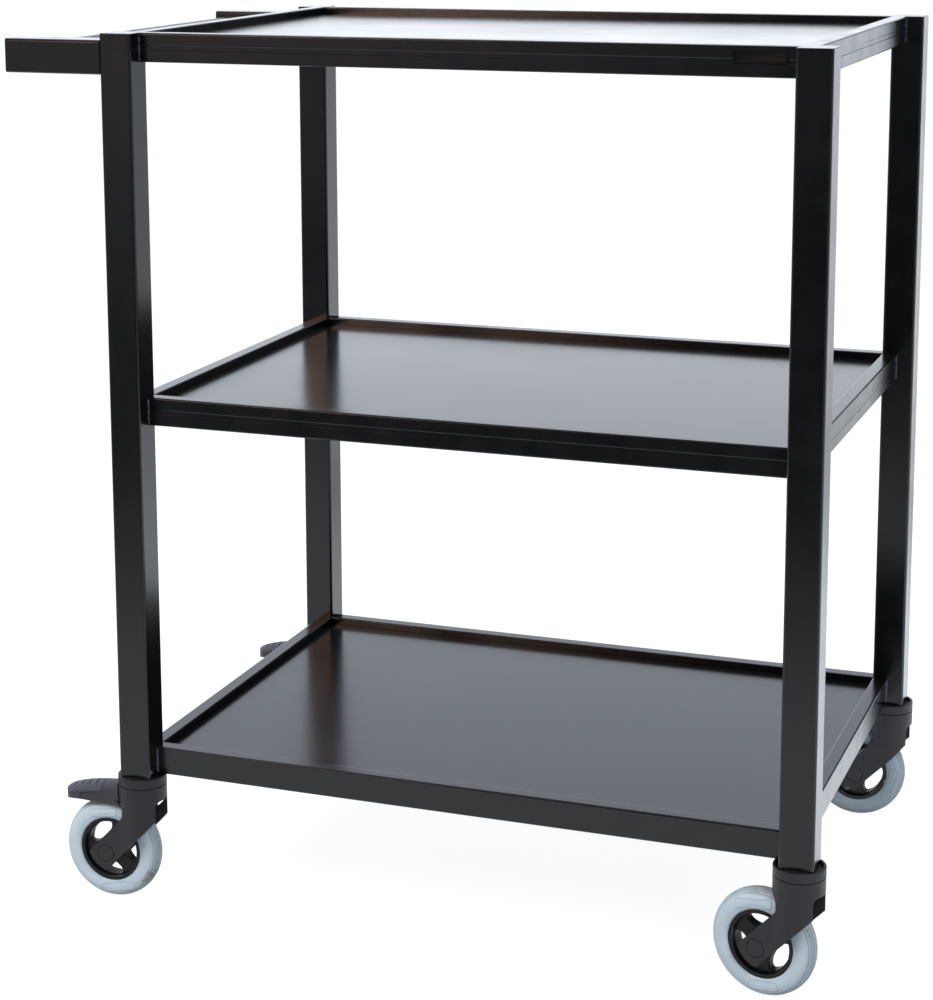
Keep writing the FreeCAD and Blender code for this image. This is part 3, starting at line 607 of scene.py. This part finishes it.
plainTyre = makeTyre(tyreSize)
for castor in castors:
    piece = bpy.data.objects.new("tyre_" + castor, plainTyre.data.copy())
    bpy.context.scene.collection.objects.link(piece)
    raisePanels(piece, panelSize, panelSize["places"][castor])
    markTyre(piece, tyreSize, panelSize, panelSize["places"][castor], wornPlaces[castor], markSize)
    piece.data.transform(placeOfWheel(castor))
    piece.data.materials.append(finishes["tyre"])
    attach(piece, "wheel_" + castor)
    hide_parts("wheel_tyre_" + castor)
bpy.data.objects.remove(plainTyre)
print("tyres made")


# Bare plate on the front of the top frame: round corners, a rolled border and a sunk field
plateSize = {"corner": 2.2 * mm, "border": 1.7 * mm, "sink": 0.55 * mm, "edge": 0.25 * mm,
             "cornerSteps": 6, "edgeSteps": 3, "smoothBelow": 40.0}


def makePlate(size, box):
    low, high = Vector(box[0]), Vector(box[1])
    clearSelection()
    bpy.ops.mesh.primitive_cube_add(size=1.0, location=(low + high) / 2)
    plate = bpy.context.object
    plate.name = "bare_plate"
    plate.scale = high - low
    pick(plate)
    bpy.ops.object.transform_apply(location=True, rotation=True, scale=True)
    front = low.y + 0.01 * mm
    corners = plate.data.vertices
    ends = {edge.index for edge in plate.data.edges
            if abs(corners[edge.vertices[0]].co.y - corners[edge.vertices[1]].co.y) > 0.5 * mm}
    edit(plate, "EDGE", lambda edge: edge.index in ends)
    bpy.ops.mesh.bevel(offset=size["corner"], segments=size["cornerSteps"])
    bpy.ops.object.mode_set(mode="OBJECT")
    edit(plate, "FACE", lambda face: face.center.y < front)
    bpy.ops.mesh.inset(thickness=size["border"])
    bpy.ops.mesh.extrude_region_move(TRANSFORM_OT_translate={"value": (0, size["sink"], 0)})
    bpy.ops.object.mode_set(mode="OBJECT")
    bevel = plate.modifiers.new("rolled edges", "BEVEL")
    bevel.width, bevel.segments, bevel.limit_method = size["edge"], size["edgeSteps"], "ANGLE"
    pick(plate)
    bpy.ops.object.modifier_apply(modifier=bevel.name)
    bpy.ops.object.shade_smooth_by_angle(angle=math.radians(size["smoothBelow"]))
    plate.data.materials.append(finishes["plate"])
    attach(plate, "frame")
    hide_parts("name_plate")


makePlate(plateSize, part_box("name_plate"))
print("plate made")


# Floor, light and camera

def lookAt(thing, target):
    thing.rotation_euler = (Vector(target) - thing.location).to_track_quat("-Z", "Y").to_euler()


floorSize = {
    "span": 80.0, "roughness": 0.9, "specular": 0.1,
    "colour": (0.40, 0.40, 0.40), "shownColour": (0.17, 0.17, 0.17), "glow": 0.93,
    "mirrorTint": (0.93, 1.0, 1.07),
    # painted light that the floor gives off for glossy rays alone, which polished parts mirror: bright round the
    # cart, dim in front, brighter far behind
    "frontDim": -2.4, "frontBright": -0.95, "nearLight": 0.95,
    "underStart": -0.3, "underEnd": 0.3, "underLight": 0.45,
    "farStart": 1.0, "farEnd": 1.9, "farShare": 0.52,
    "leftStart": -0.5, "leftEnd": -5.0, "leftLight": 0.50,
    "stripSlope": 0.35, "stripStart": 0.3, "stripEnd": -0.15, "stripFrom": 1.6, "stripTo": 2.4, "stripLight": 0.80,
    "rightStart": 0.45, "rightEnd": 0.65, "rightLight": 0.35,
    "leastLight": 0.03,
}


def makeFloorWithPaintedGlow(size):
    material, tree, shader = newFinish("pale floor", size["roughness"], specular=size["specular"])
    split = addNode(tree, "ShaderNodeSeparateXYZ")
    wire(tree, addNode(tree, "ShaderNodeTexCoord").outputs["Object"], split.inputs[0])
    across, along = split.outputs["X"], split.outputs["Y"]
    near = spread(tree, along, size["frontDim"], size["frontBright"], size["leastLight"], size["nearLight"])
    under = spread(tree, along, size["underStart"], size["underEnd"], 0.0, size["underLight"])
    far = spread(tree, along, size["farStart"], size["farEnd"], 1.0, size["farShare"])
    near = mathNode(tree, "MULTIPLY", mathNode(tree, "ADD", near, under), far)
    left = spread(tree, across, size["leftEnd"], size["leftStart"], size["leftLight"], 0.0)
    behind = spread(tree, along, size["stripFrom"], size["stripTo"])
    slant = mathNode(tree, "SUBTRACT", across, mathNode(tree, "MULTIPLY", along, size["stripSlope"]))
    strip = mathNode(tree, "MULTIPLY", behind, spread(tree, slant, size["stripEnd"], size["stripStart"],
                                                      size["stripLight"], 0.0))
    right = mathNode(tree, "MULTIPLY", mathNode(tree, "SUBTRACT", 1.0, behind),
                     spread(tree, across, size["rightStart"], size["rightEnd"], 0.0, size["rightLight"]))
    # painted reflection: for glossy rays the floor has no colour and glows by place, as a pool of light round the
    # cart
    paintedReflection = mathNode(tree, "ADD", mathNode(tree, "MAXIMUM", near, left), mathNode(tree, "ADD", strip, right))
    path = addNode(tree, "ShaderNodeLightPath")
    glossy = path.outputs["Is Glossy Ray"]
    lit = blendColours(tree, path.outputs["Is Camera Ray"], size["colour"], size["shownColour"])
    wire(tree, blendColours(tree, glossy, lit, (0.0, 0.0, 0.0)), shader.inputs["Base Color"])
    wire(tree, blendColours(tree, glossy, (1.0, 1.0, 1.0), size["mirrorTint"]), shader.inputs["Emission Color"])
    glow = mathNode(tree, "MULTIPLY", path.outputs["Is Camera Ray"], size["glow"])
    wire(tree, mathNode(tree, "ADD", glow, mathNode(tree, "MULTIPLY", glossy, paintedReflection)),
         shader.inputs["Emission Strength"])
    return material


clearSelection()
bpy.ops.mesh.primitive_plane_add(size=floorSize["span"])
floor = bpy.context.object
floor.name = "studio_floor"
floor.data.materials.append(makeFloorWithPaintedGlow(floorSize))

studio = {
    "horizonColour": (0.97, 1.0, 1.04), "highColour": (0.88, 0.95, 1.07),
    "horizonStrength": 2.12, "highStrength": 1.10, "highAt": 0.34,
    "frontColour": (0.64, 0.91, 1.38), "frontStrength": 0.05,
    "rightStart": 0.02, "rightEnd": 0.28, "rightShare": 0.08,
    "backEdge": (-0.30, 0.25), "overheadEdge": (0.35, 0.9), "overheadStrength": 0.45,
    "backdrop": (0.93, 0.93, 0.93),
    "target": (0.05, 0.0, 0.55),
}
softboxes = (
    # place, width and height, watts, colour
    ((-2.2, -3.0, 3.4), (2.6, 1.8), 150.0, (1.0, 0.99, 0.98)),
    ((2.6, -2.6, 3.2), (1.8, 1.8), 90.0, (0.97, 0.98, 1.0)),
    ((0.0, 0.6, 3.8), (3.2, 2.4), 100.0, (1.0, 1.0, 1.0)),
    ((-1.9, -3.9, 1.78), (1.1, 0.6), 26.0, (1.0, 0.66, 0.50)),  # warm lamp low in front
)
for index, (place, (width, height), watts, colour) in enumerate(softboxes):
    lamp = bpy.data.lights.new(f"softbox {index + 1}", "AREA")
    lamp.shape = "RECTANGLE"
    lamp.size, lamp.size_y = width, height
    lamp.energy = watts
    lamp.color = colour
    box = bpy.data.objects.new(lamp.name, lamp)
    box.location = place
    box.visible_glossy = index != 0
    lookAt(box, studio["target"])
    bpy.context.scene.collection.objects.link(box)


# Bright wall behind the cart, dim room in front of it, and a pale backdrop for the camera
def makeStudioWorld(look):
    world = bpy.data.worlds.new("studio")
    world.use_nodes = True
    tree = world.node_tree
    shown = tree.nodes["Background"]
    out = tree.nodes["World Output"]
    split = addNode(tree, "ShaderNodeSeparateXYZ")
    wire(tree, addNode(tree, "ShaderNodeTexCoord").outputs["Generated"], split.inputs[0])
    back = spread(tree, split.outputs["Y"], *look["backEdge"])
    rise = spread(tree, split.outputs["Z"], 0.0, look["highAt"])
    wallStrength = spread(tree, rise, 0.0, 1.0, look["horizonStrength"], look["highStrength"])
    wallStrength.node.interpolation_type = "LINEAR"
    aside = spread(tree, split.outputs["X"], look["rightStart"], look["rightEnd"], 1.0, look["rightShare"])
    wall = mathNode(tree, "MULTIPLY", mathNode(tree, "MULTIPLY", back, aside), wallStrength)
    above = spread(tree, split.outputs["Z"], *look["overheadEdge"])
    overhead = mathNode(tree, "MULTIPLY", above, look["overheadStrength"])
    strength = mathNode(tree, "MAXIMUM", mathNode(tree, "MAXIMUM", wall, look["frontStrength"]), overhead)
    wallColour = blendColours(tree, rise, look["horizonColour"], look["highColour"])
    wire(tree, blendColours(tree, back, look["frontColour"], wallColour), shown.inputs["Color"])
    wire(tree, strength, shown.inputs["Strength"])
    backdrop = addNode(tree, "ShaderNodeBackground", in_Color=(*look["backdrop"], 1.0))
    chooser = addNode(tree, "ShaderNodeMixShader")
    wire(tree, addNode(tree, "ShaderNodeLightPath").outputs["Is Camera Ray"], chooser.inputs[0])
    wire(tree, shown.outputs[0], chooser.inputs[1])
    wire(tree, backdrop.outputs[0], chooser.inputs[2])
    wire(tree, chooser.outputs[0], out.inputs["Surface"])
    return world


bpy.context.scene.world = makeStudioWorld(studio)
bpy.context.scene.view_settings.view_transform = "Standard"

cameraSize = {
    "place": (0.96441, -2.77363, 1.24250),
    "yaw": -0.3596, "pitch": -0.1775, "roll": -0.0051,
    "sensor": 36.0, "focalPixels": 2408.88, "centrePixel": (429.03, 303.12), "picture": (933, 1000),
    "farthest": 200.0,
}


def makeCamera(size):
    long = max(size["picture"])
    lens = bpy.data.cameras.new("camera")
    lens.sensor_width = size["sensor"]
    lens.lens = size["focalPixels"] * size["sensor"] / long
    lens.shift_x = (size["picture"][0] / 2 - size["centrePixel"][0]) / long
    lens.shift_y = (size["centrePixel"][1] - size["picture"][1] / 2) / long
    lens.clip_end = size["farthest"]
    yaw, pitch, roll = size["yaw"], size["pitch"], size["roll"]
    ahead = Vector((math.cos(pitch) * math.sin(yaw), math.cos(pitch) * math.cos(yaw), math.sin(pitch)))
    right = Vector((math.cos(yaw), -math.sin(yaw), 0.0))
    upward = right.cross(ahead)
    right, upward = (right * math.cos(roll) + upward * math.sin(roll),
                     upward * math.cos(roll) - right * math.sin(roll))
    camera = bpy.data.objects.new("camera", lens)
    camera.matrix_world = Matrix.Translation(size["place"]) @ Matrix((right, upward, -ahead)).transposed().to_4x4()
    bpy.context.scene.collection.objects.link(camera)
    bpy.context.scene.camera = camera


makeCamera(cameraSize)
print("studio set")
